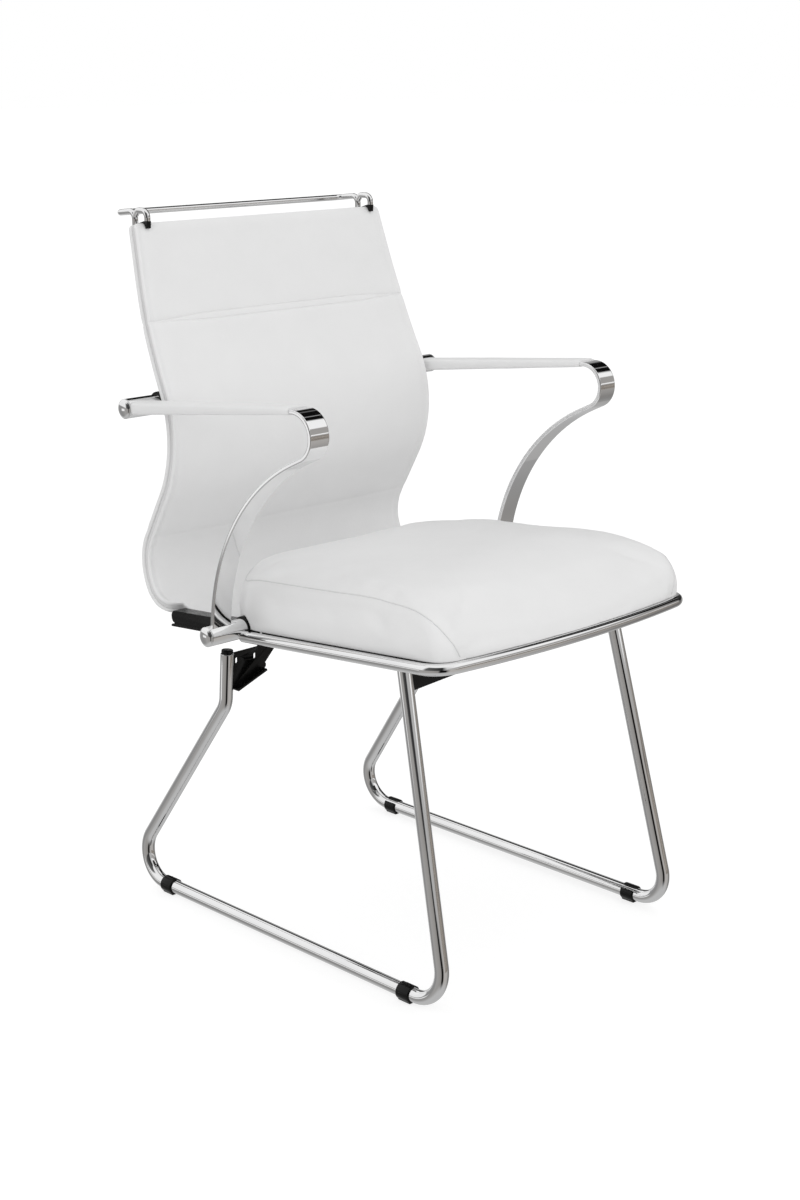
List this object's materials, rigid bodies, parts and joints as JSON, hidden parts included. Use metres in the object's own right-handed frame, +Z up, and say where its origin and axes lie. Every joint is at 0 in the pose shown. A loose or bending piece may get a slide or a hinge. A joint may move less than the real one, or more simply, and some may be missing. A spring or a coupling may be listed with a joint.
{
  "type": "sled base visitor chair",
  "caption": "Visitor chair with chromed sled frames, flat bar arms with padded sleeves, curved padded back, loose seat cushion and a coat hanger rail.",
  "frame": {"origin": "on the floor, under the middle of the chair's outer box", "axes": "+Z up, -Y towards the front of the seat, +X towards the sitter's left"},
  "size_m": [0.5704, 0.647, 0.9305],
  "materials": {
    "chrome": "polished chrome plate",
    "black_steel": "black powder coat",
    "black_plastic": "fine moulded texture",
    "leatherette": "soft white leatherette",
    "plywood": "black stained plywood",
    "zinc": "zinc plated"
  },
  "bodies": {
    "root": {"arm_bar_left": "chrome", "arm_bar_right": "chrome", "arm_pad_left": "leatherette", "arm_pad_right": "leatherette", "back_clamp_left": "black_plastic", "back_clamp_right": "black_plastic", "back_front_cover": "leatherette", "back_rear_cover": "leatherette", "back_shell": "plywood", "bracket_screw_front_left": "zinc", "bracket_screw_front_right": "zinc", "bracket_screw_rear_left": "zinc", "bracket_screw_rear_right": "zinc", "clamp_screw_left": "zinc", "clamp_screw_right": "zinc", "clip_screw_left": "zinc", "clip_screw_right": "zinc", "front_cross_plate": "black_steel", "glide_front_left": "black_plastic", "glide_front_right": "black_plastic", "glide_rear_left": "black_plastic", "glide_rear_right": "black_plastic", "hanger_clip_left": "black_plastic", "hanger_clip_right": "black_plastic", "hanger_prong_left": "chrome", "hanger_prong_right": "chrome", "hanger_rail": "chrome", "hoop_tab_front_left": "chrome", "hoop_tab_front_right": "chrome", "hoop_tab_rear_left": "chrome", "hoop_tab_rear_right": "chrome", "leg_plug_left": "black_plastic", "leg_plug_right": "black_plastic", "lower_cross_tube": "chrome", "lower_tube_cap_left": "chrome", "lower_tube_cap_right": "chrome", "rear_cross_plate": "black_steel", "seat_board": "plywood", "seat_bolt_front_left": "zinc", "seat_bolt_front_right": "zinc", "seat_bolt_rear_left": "zinc", "seat_bolt_rear_right": "zinc", "seat_cushion": "leatherette", "seat_hoop": "chrome", "seat_rail_left": "black_steel", "seat_rail_right": "black_steel", "side_bracket_left": "black_plastic", "side_bracket_right": "black_plastic", "sled_frame_left": "chrome", "sled_frame_right": "chrome", "tab_screw_front_left": "zinc", "tab_screw_front_right": "zinc", "tab_screw_rear_left": "zinc", "tab_screw_rear_right": "zinc", "upper_cross_tube": "chrome", "upper_tube_cap_left": "chrome", "upper_tube_cap_right": "chrome"}
  },
  "joints": []
}
